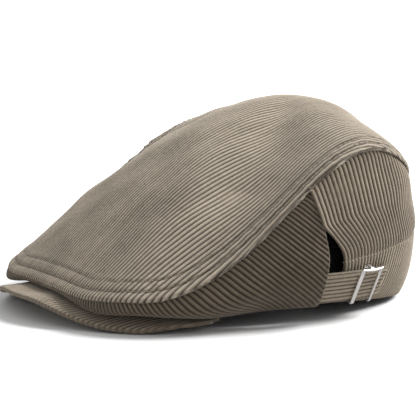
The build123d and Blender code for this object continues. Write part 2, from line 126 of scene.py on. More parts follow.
# Peak
PEAK_ANGLE, PEAK_LENGTH, PEAK_POWER = 62.0, 34.5, 1.9
PEAK_ROOT_INSET, PEAK_GAP, PEAK_SLOPE = 2.5, 0.6, 0.295
PEAK_THICKNESS, PEAK_END_THICKNESS = 3.0, 1.8
PEAK_SPAN = 0.992          # share of the peak's half angle that the covers reach
PEAK_RIM = 0.90            # share of the way out at which the rim starts to turn
PEAK_DROOP, PEAK_LEVEL = (6.0, 35.0), (38.0, 57.0)  # turn angles where the slope comes and goes
PEAK_ENDING, PEAK_ENDING_SPREAD = 54.0, 7.5  # turn angle where its ends slip under the hem

# Strap and buckle
STRAP_AXIS = CENTRE + np.array([-38.0, 7.9, 0.0])
STRAP_RADIUS, STRAP_MID_Z, STRAP_LEAN = 137.8, 19.4, 25.9
STRAP_DEGREE = STRAP_RADIUS * pi / 180  # length along the strap of one degree of its turn
STRAP_WIDTH, STRAP_THICKNESS = 19.4, 2.0
STRAP_ROOT, STRAP_TIP = 84.8, 108.4
BUCKLE_FRONT, BUCKLE_REAR = 99.2, 104.8
FRONT_BAR_WIDTH, REAR_BAR_WIDTH, CENTRE_BAR_WIDTH = 2.8, 1.6, 2.4
BAR_THICKNESS, CENTRE_BAR_THICKNESS, RAIL_WIDTH, RAIL_ARCH = 1.5, 1.0, 1.3, 0.9
BUCKLE_CLEARANCE, BAR_LIFT, LOW_RAIL_THICKNESS = 0.45, 0.25, 1.3
TAB_WIDTH, TAB_THICKNESS, TAB_END = 15.0, 0.6, 110.0

# Sweatband and lining
SWEATBAND_DEPTH, SWEATBAND_HEIGHT = 3.2, 28.0
SWEATBAND_LEAN = (45.0, 3.0, 3.0)
LINING_DROP = 1.8

# Light, floor and camera
KEY_FROM = (0.10, 0.72, 0.68)
KEY_STRENGTH, KEY_SPREAD = 4.6, 35.0
AMBIENT = 0.56
FLOOR_REACH = 60000
TARGET_HEIGHT = 50.0
CAMERA_AZIMUTH, CAMERA_ELEVATION, CAMERA_DISTANCE = 60.76, 7.57, 1.0
CAMERA_LENS, CAMERA_SENSOR = 149.6, 36.0
CAMERA_SHIFT_X, CAMERA_SHIFT_Y = -0.024, 0.0081


# ---------------------------------------------------------------- formulas of the crown
def wrap(angle):
    """Turn angle between -180 and 180 degrees."""
    return (angle + 180.0) % 360.0 - 180.0


def smooth(t):
    """Smooth step from 0 to 1."""
    t = np.clip(t, 0.0, 1.0)
    return t * t * (3 - 2 * t)


def blend(angle, front, side, back, power=2.0):
    """Value between front, side and back by the cosine of the turn angle."""
    c = np.cos(np.radians(angle))
    return side + (np.where(c > 0, front, back) - side) * np.abs(c) ** power


def ramp(angle, low, high, start, end):
    """Smooth step of the turn angle, the same on both sides of the cap."""
    return low + (high - low) * smooth((np.abs(wrap(angle)) - start) / (end - start))


def oval(angle, half_width, front, back, power=2.0):
    """Radius of a superellipse with its own front and back reach."""
    c, s = np.cos(np.radians(angle)), np.abs(np.sin(np.radians(angle)))
    reach = np.where(c > 0, front, back)
    return ((s / half_width) ** power + (np.abs(c) / reach) ** power) ** (-1 / power)


def place(angle, radius, z):
    """Points at a turn angle, radius and height."""
    a = np.radians(angle)
    return np.stack(np.broadcast_arrays(radius * np.sin(a), -radius * np.cos(a), z), -1) + CENTRE


def hem(angle):
    """Radius and height of the hem."""
    power = np.where(np.cos(np.radians(angle)) > 0, 2.0, 1.5)
    off = (np.abs(wrap(angle)) - HEM_DIP_ANGLE) / HEM_DIP_SPREAD
    return oval(angle, *HEM), blend(angle, *HEM_Z, power) - HEM_DIP * np.exp(-off * off / 2)


def seam(angle):
    """Radius and height of the seam round the top panel."""
    off = (np.abs(wrap(angle)) - SEAM_DIP_ANGLE) / SEAM_DIP_SPREAD
    z = ramp(angle, SEAM_Z_FRONT, SEAM_Z_TOP, *SEAM_RISE) - ramp(angle, 0.0, SEAM_FALL, *SEAM_FALL_ANGLES)
    return oval(angle, *SEAM, SEAM_POWER), z - SEAM_DIP * np.exp(-off * off / 2)


def side_rz(angle, v):
    """Radius and height on the crown's side, v from 0 at the hem to 1 at the seam."""
    (r0, z0), (r3, z3) = hem(angle), seam(angle)
    r1 = r0 + (r3 - r0) * blend(angle, *LOW_FOLLOW) + blend(angle, *LOW_BULGE)
    r2 = r0 + (r3 - r0) * blend(angle, *HIGH_FOLLOW) + blend(angle, *HIGH_BULGE)
    lip = ramp(angle, LIP_Z_FRONT, LIP_Z_SIDE, *LIP_FALL)
    front = ramp(angle, 1.0, 0.0, *LIP_END)
    z1 = front * (lip - 0.3) + (1 - front) * (z0 + (z3 - z0) * LOW_HEIGHT)
    z2 = front * (lip + 0.7) + (1 - front) * (z0 + (z3 - z0) * blend(angle, *HIGH_HEIGHT))
    w = 1 - v
    k = (w**3, 3 * w * w * v, 3 * w * v * v, v**3)
    return (k[0] * r0 + k[1] * r1 + k[2] * r2 + k[3] * r3,
            k[0] * z0 + k[1] * z1 + k[2] * z2 + k[3] * z3)


def flare(angle, v):
    """Extra radius of the left side panel over the strap."""
    return SIDE_FLARE * smooth((angle - 72.0) / 20.0) * smooth((0.62 - v) / 0.3)


def tuck(angle, v):
    """Radius taken off the band and back panel under the buckle."""
    return BAND_TUCK * smooth((150.0 - angle) / 28.0) * smooth((0.62 - v) / 0.35)


def side_edge(v):
    """Turn angle of the side panel's rear edge."""
    return SIDE_EDGE + (SIDE_EDGE_TOP - SIDE_EDGE) * np.maximum(v - SLIT_APEX, 0) / (1 - SLIT_APEX)


def slit_edge(v):
    """Turn angle of the slit's rear edge, on the back panel."""
    opening = (BAND_FRONT - SIDE_EDGE) * smooth((SLIT_APEX - v) / 0.32)
    return np.where(v > SLIT_APEX, side_edge(v), SIDE_EDGE + opening)


def bisect(rising, target, low, high):
    """Argument at which a rising function of an array reaches the target."""
    low, high = np.full_like(target, low), np.full_like(target, high)
    for _ in range(40):
        middle = (low + high) / 2
        below = rising(middle) < target
        low, high = np.where(below, middle, low), np.where(below, high, middle)
    return (low + high) / 2


def band_v(angle):
    """Height fraction of the seam between the back band and the back panel."""
    rise = np.clip((np.abs(wrap(angle)) - 100.0) / BAND_SEAM_FALL, 0.0, 1.0)
    target = hem(angle)[1] + BAND_LOW + (BAND_HIGH - BAND_LOW) * rise
    return bisect(lambda v: side_rz(angle, v)[1], target, 0.0, 1.0)


TURN = np.linspace(0.0, 180.0, 3601)
SEAM_X = seam(TURN)[0] * np.sin(np.radians(TURN))
SEAM_Y = -seam(TURN)[0] * np.cos(np.radians(TURN))
SEAM_BEARING = np.arctan2(SEAM_X, APEX_Y - SEAM_Y)


def dome_z(x, y):
    """Height of the top panel over a plan position about the head opening's centre."""
    angle = np.interp(np.arctan2(np.abs(x), APEX_Y - y), SEAM_BEARING, TURN)
    px, py = np.interp(angle, TURN, SEAM_X), np.interp(angle, TURN, SEAM_Y)
    q = np.minimum(np.hypot(x, y - APEX_Y) / np.hypot(px, py - APEX_Y), 1.0)
    rise = (1 - q ** blend(angle, *DOME_POWER)) ** (1 / blend(angle, *DOME_ROUND))
    z = seam(angle)[1]
    return z + (APEX_Z - z) * rise


# ---------------------------------------------------------------- waves, ribs and folds
def ripple(points, length, seed, waves=7):
    """Smooth irregular waves of about unit size and a typical wavelength, over a grid of points."""
    rng = np.random.default_rng(seed)
    total = 0.0
    for _ in range(waves):
        heading = rng.normal(size=points.shape[-1])
        heading /= np.linalg.norm(heading)
        scale = tau / length * rng.uniform(0.6, 1.6)
        total = total + np.sin(points @ heading * scale + rng.uniform(0, tau))
    return total / np.sqrt(waves / 2) / 1.4


def rib(phase):
    """Rounded rib profile, 1 on the crest and 0 at the bottom between ribs."""
    t = phase - np.floor(phase) - 0.5
    return np.sqrt(np.clip(1 - (t / 0.43) ** 2, 0, 1))


def lengths(points, axis):
    """Running length of a grid along one axis."""
    step = np.linalg.norm(np.diff(points, axis=axis), axis=-1)
    start = np.zeros_like(np.take(step, [0], axis))
    return np.concatenate([start, np.cumsum(step, axis)], axis)


def normals(points):
    """Outward unit normals of a grid whose u cross v faces out."""
    across = np.gradient(points, axis=0)
    along = np.gradient(points, axis=1)
    n = np.cross(across, along)
    return n / np.maximum(np.linalg.norm(n, axis=-1, keepdims=True), 1e-9)


def border(points, sides="uUvV"):
    """Distance of each grid point from the nearest of the named borders, u=0, U=1, v=0, V=1."""
    du, dv = lengths(points, 0), lengths(points, 1)
    away = {"u": du, "U": du[-1:] - du, "v": dv, "V": dv[:, -1:] - dv}
    return np.min([np.broadcast_to(away[s], du.shape) for s in sides], axis=0)


def fold_drop(distance, radius):
    """How far a folded edge has turned down at a distance from its rim."""
    t = 1 - np.clip(distance / radius, 0, 1)
    return radius * (1 - np.sqrt(np.clip(1 - t * t, 0, 1)))


# ---------------------------------------------------------------- meshes
def new_object(name, vertices, faces, material, fields=None):
    """Mesh object from millimetre vertices and faces of any size, smooth shaded."""
    mesh = bpy.data.meshes.new(name)
    mesh.from_pydata((np.asarray(vertices) * MM).tolist(), [], faces)
    mesh.shade_smooth()
    for field, values in (fields or {}).items():
        attribute = mesh.attributes.new(field, "FLOAT", "POINT")
        attribute.data.foreach_set("value", np.asarray(values, np.float32))
    mesh.materials.append(material)
    piece = bpy.data.objects.new(name, mesh)
    bpy.context.scene.collection.objects.link(piece)
    return piece


def grid_faces(nu, nv, start=0, flip=False):
    """Quads of a grid of nu by nv points, numbered row by row."""
    i, j = np.meshgrid(np.arange(nu - 1), np.arange(nv - 1), indexing="ij")
    a = start + i * nv + j
    quads = np.stack([a, a + nv, a + nv + 1, a + 1], -1).reshape(-1, 4)
    return quads[:, ::-1] if flip else quads


def rim_faces(nu, nv, offset):
    """Quads that join the borders of two grids of the same size."""
    loop = [(i, 0) for i in range(nu)] + [(nu - 1, j) for j in range(1, nv)]
    loop += [(i, nv - 1) for i in range(nu - 2, -1, -1)] + [(0, j) for j in range(nv - 2, 0, -1)]
    a = np.array([i * nv + j for i, j in loop])
    b = np.roll(a, -1)
    return np.stack([b, a, a + offset, b + offset], -1)


def cloth(name, base, material, relief, groove_shade, nap=0.0, thickness=CLOTH, folds="uUvV"):
    """Closed cloth piece: relief raises its outside, and the named borders are folded edges."""
    n = normals(base)
    drop = fold_drop(border(base, folds), thickness * 0.55) if folds else 0.0
    outside = base + n * (relief - drop)[..., None]
    inside = base - n * (thickness - drop * 0.8)[..., None] if folds else base - n * thickness
    nu, nv = base.shape[:2]
    count = nu * nv
    faces = np.concatenate([grid_faces(nu, nv), grid_faces(nu, nv, count, flip=True),
                            rim_faces(nu, nv, count)])
    # This field marks where shade is painted down between the ribs; the inside and the rims get a flat share
    # of it.
    flat = np.full(count, 0.35)
    fields = {"groove_shade": np.concatenate([np.broadcast_to(groove_shade, (nu, nv)).ravel(), flat]),
              "nap": np.concatenate([np.broadcast_to(nap, (nu, nv)).ravel(), flat * 0])}
    vertices = np.concatenate([outside.reshape(-1, 3), inside.reshape(-1, 3)])
    piece = new_object(name, vertices, faces.tolist(), material, fields)
    piece["outside"] = count
    return piece


def surface_tree(piece):
    """Search tree over the outside of a cloth piece."""
    count = piece.pop("outside")
    vertices = [v.co for v in piece.data.vertices[:count]]
    faces = [p.vertices[:] for p in piece.data.polygons if max(p.vertices) < count]
    return BVHTree.FromPolygons(vertices, faces)


def wale_nap(phase, seed):
    """Slight difference of shade from one rib to the next."""
    tones = np.random.default_rng(seed).normal(0, 1, 2048)
    return tones[np.floor(phase).astype(int) % 2048]


# ---------------------------------------------------------------- stitches
def stitches(name, path, tree, material, length=2.6, gap=0.9, radius=0.26, lift=0.12):
    """Row of thread stitches along a path of points, laid on the cloth under it."""
    run = np.concatenate([[0], np.cumsum(np.linalg.norm(np.diff(path, axis=0), axis=1))])
    vertices, faces = [], []
    rings, sides = 5, 6
    for start in np.arange(0.5, run[-1] - length, length + gap):
        at = start + np.linspace(0, length, rings)
        spine = np.stack([np.interp(at, run, path[:, k]) for k in range(3)], -1)
        for k, point in enumerate(spine):
            found, normal, _, _ = tree.find_nearest(Vector(point * MM))
            share = k / (rings - 1)
            arch = sin(pi * share)
            ahead = Vector(spine[min(k + 1, rings - 1)] - spine[max(k - 1, 0)]).normalized()
            across = normal.cross(ahead).normalized()
            middle = np.array(found) / MM + np.array(normal) * (lift - 0.45 * (1 - arch) ** 2)
            size = radius * (0.35 + 0.65 * arch)
            for s in range(sides):
                a = tau * s / sides
                vertices.append(middle + size * (np.array(across) * cos(a) + np.array(normal) * sin(a)))
        first = len(vertices) - rings * sides
        for k in range(rings - 1):
            for s in range(sides):
                t = (s + 1) % sides
                a, b = first + k * sides, first + (k + 1) * sides
                faces.append((a + s, a + t, b + t, b + s))
        faces.append(tuple(first + s for s in range(sides))[::-1])
        faces.append(tuple(first + (rings - 1) * sides + s for s in range(sides)))
    return new_object(name, vertices, faces, material)


# ---------------------------------------------------------------- materials
class Shader:
    """Small helper that wires one node material."""

    def __init__(self, name):
        self.material = bpy.data.materials.new(name)
        self.material.use_nodes = True
        self.tree = self.material.node_tree
        self.surface = self.tree.nodes["Principled BSDF"]

    def set(self, **values):
        for name, value in values.items():
            self.surface.inputs[name.replace("_", " ")].default_value = value
        return self

    def node(self, kind, inputs=None, **settings):
        node = self.tree.nodes.new(kind)
        for key, value in settings.items():
            setattr(node, key, value)
        for key, value in (inputs or {}).items():
            if isinstance(value, bpy.types.NodeSocket):
                self.tree.links.new(value, node.inputs[key])
            else:
                node.inputs[key].default_value = value
        return node

    def link(self, socket, target):
        self.tree.links.new(socket, self.surface.inputs[target])

    def noise(self, scale, detail=3.0, roughness=0.6, vector=None):
        node = self.node("ShaderNodeTexNoise", {"Scale": scale, "Detail": detail, "Roughness": roughness})
        if vector is None:
            vector = self.node("ShaderNodeTexCoord").outputs["Object"]
        self.tree.links.new(vector, node.inputs["Vector"])
        return node.outputs["Fac"]

    def math(self, operation, a, b=0.0, clamp=False):
        node = self.node("ShaderNodeMath", {0: a, 1: b}, operation=operation, use_clamp=clamp)
        return node.outputs[0]

    def mix(self, factor, a, b, mode="MIX"):
        node = self.node("ShaderNodeMix", data_type="RGBA", blend_type=mode)
        for index, value in ((0, factor), (6, a), (7, b)):
            if isinstance(value, bpy.types.NodeSocket):
                self.tree.links.new(value, node.inputs[index])
            else:
                node.inputs[index].default_value = value
        return node.outputs[2]

    def attribute(self, name):
        return self.node("ShaderNodeAttribute", attribute_name=name).outputs["Fac"]

    def bump(self, height, distance, strength=1.0):
        node = self.node("ShaderNodeBump", {"Height": height, "Distance": distance, "Strength": strength})
        self.link(node.outputs["Normal"], "Normal")


def corduroy(name, crest, groove_shade):
    """Ribbed pile: lighter crests, painted shade down between the ribs, pile grain, worn patches and sheen.
    """
    shader = Shader(name)
    pile = shader.noise(1500.0, 2.0, 0.7)
    streak = shader.noise(320.0, 3.0, 0.6)
    patch = shader.noise(28.0, 3.0, 0.55)
    # Painted shade: the colour runs from the crest colour to the dark colour down between the ribs.
    painted_groove_share = shader.math("POWER", shader.attribute("groove_shade"), 0.62, clamp=True)
    tone = shader.math("MULTIPLY_ADD", shader.attribute("nap"), 0.045)
    tone.node.inputs[2].default_value = 0.82
    for part, weight in ((pile, 0.55), (streak, 0.45), (patch, 0.5)):
        centred = shader.math("SUBTRACT", part, 0.5)
        scaled = shader.math("MULTIPLY_ADD", centred, weight)
        shader.tree.links.new(tone, scaled.node.inputs[2])
        tone = scaled
    bright = shader.mix(1.0, shader.mix(painted_groove_share, crest, groove_shade), (1, 1, 1, 1), "MULTIPLY")
    value = shader.node("ShaderNodeCombineColor", {0: tone, 1: tone, 2: tone}).outputs[0]
    shader.tree.links.new(value, bright.node.inputs[7])
    shader.link(bright, "Base Color")
    shader.set(Roughness=0.92, Sheen_Weight=0.55, Sheen_Roughness=0.45,
               Sheen_Tint=(1.0, 0.93, 0.82, 1.0), Specular_IOR_Level=0.15)
    shader.bump(shader.math("ADD", pile, streak), 0.00035, 0.8)
    return shader.material


def thread():
    """Twisted sewing thread."""
    shader = Shader("thread")
    twist = shader.noise(2500.0, 1.0)
    shader.link(shader.mix(twist, (0.20, 0.155, 0.105, 1), (0.34, 0.275, 0.20, 1)), "Base Color")
    shader.set(Roughness=0.8, Sheen_Weight=0.25)
    shader.bump(twist, 0.0001)
    return shader.material


def satin():
    """Black lining with a faint lengthwise weave."""
    shader = Shader("satin_lining")
    weave = shader.noise(2200.0, 1.0)
    patch = shader.noise(40.0, 3.0)
    shader.link(shader.mix(patch, (0.006, 0.006, 0.006, 1), (0.020, 0.018, 0.017, 1)), "Base Color")
    rough = shader.math("MULTIPLY_ADD", weave, 0.25)
    rough.node.inputs[2].default_value = 0.33
    shader.link(rough, "Roughness")
    shader.set(Sheen_Weight=0.1)
    shader.bump(weave, 0.00008)
    return shader.material


def twill():
    """Black twill tape with diagonal ribs."""
    shader = Shader("twill_tape")
    place_node = shader.node("ShaderNodeTexCoord").outputs["Object"]
    wave = shader.node("ShaderNodeTexWave", {"Vector": place_node, "Scale": 260.0, "Distortion": 0.6,
                                             "Detail": 1.0}, bands_direction="DIAGONAL")
    fibre = shader.noise(1800.0, 2.0)
    colour = shader.mix(wave.outputs["Fac"], (0.008, 0.0075, 0.007, 1), (0.032, 0.030, 0.028, 1))
    shader.link(colour, "Base Color")
    shader.set(Roughness=0.85, Sheen_Weight=0.2)
    shader.bump(shader.math("ADD", wave.outputs["Fac"], fibre), 0.00012)
    return shader.material


def nickel():
    """Bright plate with soft scratches and slightly dull patches."""
    shader = Shader("nickel_plate")
    stretch = shader.node("ShaderNodeMapping", {"Vector": shader.node("ShaderNodeTexCoord").outputs["Object"],
                                                "Scale": (400.0, 400.0, 4000.0)})
    scratch = shader.noise(1.0, 3.0, vector=stretch.outputs[0])
    patch = shader.noise(150.0, 2.0)
    rough = shader.math("MULTIPLY_ADD", patch, 0.16)
    rough.node.inputs[2].default_value = 0.16
    shader.link(rough, "Roughness")
    shader.link(shader.mix(scratch, (0.78, 0.77, 0.76, 1), (0.90, 0.89, 0.88, 1)), "Base Color")
    shader.set(Metallic=1.0)
    shader.bump(scratch, 0.00003, 0.5)
    return shader.material


def board():
    """Pressed white stiffener board."""
    shader = Shader("stiffener_board")
    fibre = shader.noise(700.0, 4.0)
    shader.link(shader.mix(fibre, (0.58, 0.57, 0.52, 1), (0.75, 0.74, 0.70, 1)), "Base Color")
    shader.set(Roughness=0.7)
    shader.bump(fibre, 0.0001)
    return shader.material


# One corduroy in four lit and shaded copies, whose colours are painted light: lit on the top, band and strap,
# half lit on the back panel and the pieces that share its cloth, in painted shade on the sides.
top_cloth_painted_lit = corduroy("corduroy_top_painted_lit", (0.600, 0.508, 0.400, 1.0), (0.022, 0.015, 0.010, 1.0))
side_cloth_painted_shade = corduroy("corduroy_side_painted_shade", (0.215, 0.172, 0.128, 1.0), (0.030, 0.022, 0.015, 1.0))
back_cloth_painted_half_lit = corduroy("corduroy_back_painted_half_lit", (0.470, 0.390, 0.300, 1.0), (0.050, 0.036, 0.024, 1.0))
band_cloth_painted_lit = corduroy("corduroy_band_painted_lit", (0.590, 0.497, 0.385, 1.0), (0.090, 0.068, 0.048, 1.0))
thread_material = thread()
lining_material = satin()
tape_material = twill()
metal_material = nickel()
board_material = board()


# ---------------------------------------------------------------- crown pieces
def seam_line():
    """Closed line of the top seam, with its running length."""
    angle = np.linspace(0, 360, 1801)
    radius, z = seam(angle)
    points = place(angle, radius, z)
    run = np.concatenate([[0], np.cumsum(np.linalg.norm(np.diff(points, axis=0), axis=1))])
    return points, run


SEAM_LINE, SEAM_RUN = seam_line()


def seam_distance(points):
    """Distance of each point from the top seam, and the place along it."""
    tree = KDTree(len(SEAM_LINE))
    for index, point in enumerate(SEAM_LINE):
        tree.insert(point, index)
    tree.balance()
    found = [tree.find(p)[1:] for p in points.reshape(-1, 3)]
    index = np.array([f[0] for f in found])
    shape = points.shape[:-1]
    return np.array([f[1] for f in found]).reshape(shape), SEAM_RUN[index].reshape(shape)


def seam_inward(along):
    """Unit direction from the seam into the top panel, at a place along the seam."""
    tangent = np.gradient(SEAM_LINE, axis=0)
    tangent[0] = tangent[-1] = SEAM_LINE[1] - SEAM_LINE[-2]
    tangent /= np.linalg.norm(tangent, axis=1, keepdims=True)
    middle = CENTRE + np.array([0, APEX_Y * 0.4, 0])
    level = np.cross(tangent, np.array([0, 0, 1.0]))
    level *= np.sign(((middle - SEAM_LINE) * level).sum(1, keepdims=True))
    inward = level + np.array([0, 0, 0.8])
    inward -= (inward * tangent).sum(1, keepdims=True) * tangent
    inward /= np.linalg.norm(inward, axis=1, keepdims=True)
    return np.stack([np.interp(along, SEAM_RUN, inward[:, k]) for k in range(3)], -1)


def seam_row(distance):
    """Line that runs on the top panel at a distance from its seam."""
    return SEAM_LINE + seam_inward(SEAM_RUN) * distance


def dome_grid(x, rows, share=1.0):
    """Grid on the dome with a column at each x, over a share of the length from front to back."""
    rising = TURN <= 90
    front = share * np.interp(np.abs(x), SEAM_X[rising], SEAM_Y[rising])
    back = share * np.interp(np.abs(x), SEAM_X[~rising][::-1], SEAM_Y[~rising][::-1])
    v = np.linspace(0, 1, rows)
    y = front[:, None] + (back - front)[:, None] * (1 - np.cos(pi * v)) / 2
    x = np.broadcast_to(x[:, None], y.shape)
    return np.stack([x, y, dome_z(x, y)], -1) + CENTRE


def top_base():
    """Grid of the top panel, columns along the ribs, and each column's place across them."""
    x = np.linspace(0, SEAM[0] * 0.9999, 2000)
    z = dome_z(x, 0.0)
    across = np.concatenate([[0], np.cumsum(np.hypot(np.diff(x), np.diff(z)))])
    half = int(across[-1] / WALE_PITCH * WALE_STEPS)
    s = np.linspace(-across[-1], across[-1], 2 * half + 1)
    return dome_grid(np.sign(s) * np.interp(np.abs(s), across, x), 105), s


def top_panel():
    """Top panel: ribs front to back, turned edge with two rows of topstitching, soft dents."""
    base, s = top_base()
    away, along = seam_distance(base)
    phase = (s[:, None] + 0.35 * ripple(base, 60, 3)) / WALE_PITCH
    inner = smooth((away - 10) / 30)
    dents = inner * (0.45 * ripple(base, 95, 11) + 0.4 * ripple(base, 38, 12))
    allowance = 0.45 * (1 - smooth((away - 12.5) / 3.0))
    rows = sum(np.exp(-((away - row) / 0.8) ** 2) for row in STITCH_ROWS)
    pucker = ripple(along[..., None], 8, 21) * np.exp(-((away - 7) / 6) ** 2)
    # Along the stitch rows the ribs sink and painted shade darkens the cloth.
    crest = rib(phase) * (1 - 0.45 * np.clip(rows, 0, 1))
    relief = dents + allowance - 0.3 * rows + 0.16 * pucker + WALE_HEIGHT * (crest - 1)
    relief -= fold_drop(away, 1.6)
    over = SEAM_OVERLAP * np.exp(-away / 3.0)
    base = base - over[..., None] * seam_inward(along)
    return cloth("cloth_top_panel", base, top_cloth_painted_lit, relief, 1 - crest, wale_nap(phase, 5), folds="")


def side_base(sign, flared):
    """Grid of a side panel, with the length along it and up it."""
    nu = int(SIDE_LENGTH / FINE_STEP)
    nv = int(SIDE_HEIGHT / FINE_STEP)
    u, v = np.meshgrid(np.linspace(0, 1, nu), np.linspace(0, 1, nv), indexing="ij")
    angle = FRONT_GAP + u * (side_edge(v) - FRONT_GAP)
    radius, z = side_rz(angle, v)
    if flared:
        radius = radius + flare(angle, v)
    beside_front = np.exp(-((angle - LIP_SAG_ANGLE) / LIP_SAG_SPREAD) ** 2)
    z = z - LIP_SAG * beside_front * smooth(v / 0.3) * smooth((0.95 - v) / 0.3)
    base = place(sign * angle, radius, z)
    return (base, angle, v) if sign > 0 else (base[::-1], angle[::-1], v[::-1])


def side_phase(angle, v):
    """Place across the ribs, which run down from the front to the rear of a side panel."""
    turn = np.linspace(0, 100, 401)
    middle = place(turn, *side_rz(turn, np.full_like(turn, 0.5)))
    run = np.concatenate([[0], np.cumsum(np.linalg.norm(np.diff(middle, axis=0), axis=1))])
    slant = np.radians(np.interp(turn, *np.array(GRAIN_ANGLES, float).T))
    slant = np.convolve(np.pad(slant, 20, mode="edge"), np.ones(41) / 41, "valid")
    across = np.concatenate([[0], np.cumsum(np.diff(run) * np.sin(slant[1:]))])
    section = lengths(place(angle, *side_rz(angle, v)), 1)
    return (np.interp(angle, turn, across) + section * np.cos(np.interp(angle, turn, slant))) / WALE_PITCH


def side_panel(name, sign):
    """Side panel: slanting ribs, folded hem and slit edge, tucked under the top panel's edge."""
    base, angle, v = side_base(sign, flared=sign > 0)
    phase = side_phase(angle, v) + 0.12 * ripple(base, 50, 31)
    to_seam = border(base, "V")
    base[..., 2] -= SEAM_TUCK * np.exp(-to_seam / 3.0)
    to_edge = border(base, "U" if sign > 0 else "u")
    to_hem = border(base, "v")
    # Near the folded hem the ribs flatten and painted shade darkens the cloth.
    crest = rib(phase) * (1 - 0.3 * np.exp(-to_hem / 1.5))
    soft = 0.5 * ripple(base, 60, 32) * smooth(to_seam / 12) * smooth(to_hem / 8)
    relief = soft + WALE_HEIGHT * (crest - 1) - 0.9 * np.exp(-to_seam / 1.8)
    relief += 0.35 * np.exp(-((to_edge - 4) / 3) ** 2) * ripple(v[..., None] * 60, 14, 33)
    folds = "vU" if sign > 0 else "vu"
    return cloth(name, base, side_cloth_painted_shade, relief, 1 - crest, wale_nap(phase, 6), folds=folds)


def back_base(low, high, start, end, columns, rows):
    """Grid on the back, with the shares of its length and height: low and high are functions of
    the turn angle, start and end of the share v of the way up."""
    u, v = np.meshgrid(np.linspace(0, 1, columns), np.linspace(0, 1, rows), indexing="ij")
    angle = start(v) + u * (end(v) - start(v))
    t = low(angle) + v * (high(angle) - low(angle))
    radius, z = side_rz(angle, t)
    return place(angle, radius - tuck(angle, t), z), u, t


def back_panel():
    """Back panel: upright ribs, front edge over the side panel, bottom tucked into the band."""
    foot = float(band_v(np.array([BAND_FRONT]))[0])

    def start(v):
        height = foot * (1 - v) + v
        lap = 0.9 * smooth((height - 0.5) / 0.12)
        return slit_edge(height) - lap

    right_foot = float(band_v(np.array([SIDE_EDGE]))[0])

    def end(v):
        return 360.0 - side_edge(right_foot * (1 - v) + v) + 0.1

    columns = int(BACK_LENGTH / WALE_PITCH * WALE_STEPS)
    base, u, t = back_base(lambda a: band_v(a) - 0.012, np.ones_like, start, end, columns, 40)
    phase = u * BACK_LENGTH / WALE_PITCH + 0.1 * ripple(base, 45, 41)
    crest = rib(phase)
    to_front, to_seam, to_foot = border(base, "u"), border(base, "V"), border(base, "v")
    base[..., 2] -= SEAM_TUCK * np.exp(-to_seam / 3.0)
    soft = 0.55 * ripple(base, 55, 42) * smooth(to_seam / 12) * smooth(to_foot / 8)
    lap = 1.15 * np.exp(-(to_front / 6) ** 2) * smooth((t - 0.45) / 0.15)
    relief = soft + lap + WALE_HEIGHT * (crest - 1)
    relief = relief - 0.9 * np.exp(-to_seam / 1.8) - 0.5 * np.exp(-to_foot / 1.5)
    return cloth("cloth_back_panel", base, back_cloth_painted_half_lit, relief, 1 - crest, wale_nap(phase, 7), folds="u")


def back_band():
    """Back band: upright ribs, folded top and bottom edges, standing a little proud."""
    columns = int(BAND_LENGTH / WALE_PITCH * WALE_STEPS)
    base, u, _ = back_base(np.zeros_like, lambda a: band_v(a) + 0.004,
                           lambda v: np.full_like(v, BAND_FRONT),
                           lambda v: np.full_like(v, 360.0 - SIDE_EDGE - 0.1), columns, 44)
    to_hem, to_top = border(base, "v"), border(base, "V")
    phase = (u * BAND_LENGTH + 0.12 * to_hem) / WALE_PITCH + 0.1 * ripple(base, 45, 51)
    # Near the folded bottom and top edges the ribs flatten and painted shade darkens the cloth.
    crest = rib(phase) * (1 - 0.4 * np.exp(-to_hem / 1.5)) * (1 - 0.3 * np.exp(-to_top / 1.2))
    soft = 0.45 * ripple(base, 60, 52) * smooth(to_hem / 8)
    relief = soft + 0.35 + WALE_HEIGHT * (crest - 1)
    return cloth("cloth_back_band", base, band_cloth_painted_lit, relief, 1 - crest, wale_nap(phase, 8))


# ---------------------------------------------------------------- peak
def peak_reach(angle):
    """Length of the peak beyond the hem."""
    t = np.minimum(np.abs(angle) / PEAK_ANGLE, 1.0)
    return PEAK_LENGTH * (1 - t**PEAK_POWER) ** (1 / PEAK_POWER)


def peak_surface(upper):
    """Grid of one cover: out from under the hem, and round the rim to half its thickness."""
    span = PEAK_ANGLE * PEAK_SPAN
    angle = span * np.sin(np.linspace(-pi / 2, pi / 2, 460))[:, None]
    thickness = ramp(angle, PEAK_THICKNESS, PEAK_END_THICKNESS, 40.0, PEAK_ANGLE)
    half = thickness / 2
    reach = np.maximum(peak_reach(angle), 1.2)
    w = np.linspace(0, 1, 86)[None, :]
    turn = smooth((w - PEAK_RIM) / 0.10) * pi / 2
    flat = np.minimum(w / PEAK_RIM, 1.0)
    out = -PEAK_ROOT_INSET + flat * (reach - half + PEAK_ROOT_INSET) + half * np.sin(turn)
    radius, z = hem(angle)
    slope = ramp(angle, 0.0, PEAK_SLOPE, *PEAK_DROOP) - ramp(angle, 0.0, PEAK_SLOPE, *PEAK_LEVEL)
    level = half * np.cos(turn)
    ending = smooth((np.abs(angle) - PEAK_ENDING) / PEAK_ENDING_SPREAD)
    z = z - PEAK_GAP - half - slope * out + (level if upper else -level) + 1.0 * ending
    base = place(angle, radius + out - 1.2 * ending, z)
    return base[::-1] if upper else base


def peak_cover(name, upper):
    """Upper or lower cover of the peak, ribs front to back."""
    base = peak_surface(upper)
    phase = base[..., 0] / WALE_PITCH + 0.1 * ripple(base, 50, 61)
    rim = border(base, "V")
    # Near the rim the ribs flatten and painted shade darkens the cloth.
    crest = rib(phase) * (1 - 0.35 * np.exp(-rim / 0.8))
    relief = 0.25 * ripple(base, 40, 62) * smooth(rim / 8) + WALE_HEIGHT * (crest - 1)
    relief = relief - 0.35 * np.exp(-(rim / 0.5) ** 2)
    return cloth(name, base, back_cloth_painted_half_lit, relief, 1 - crest, wale_nap(phase, 9), thickness=0.6, folds="")


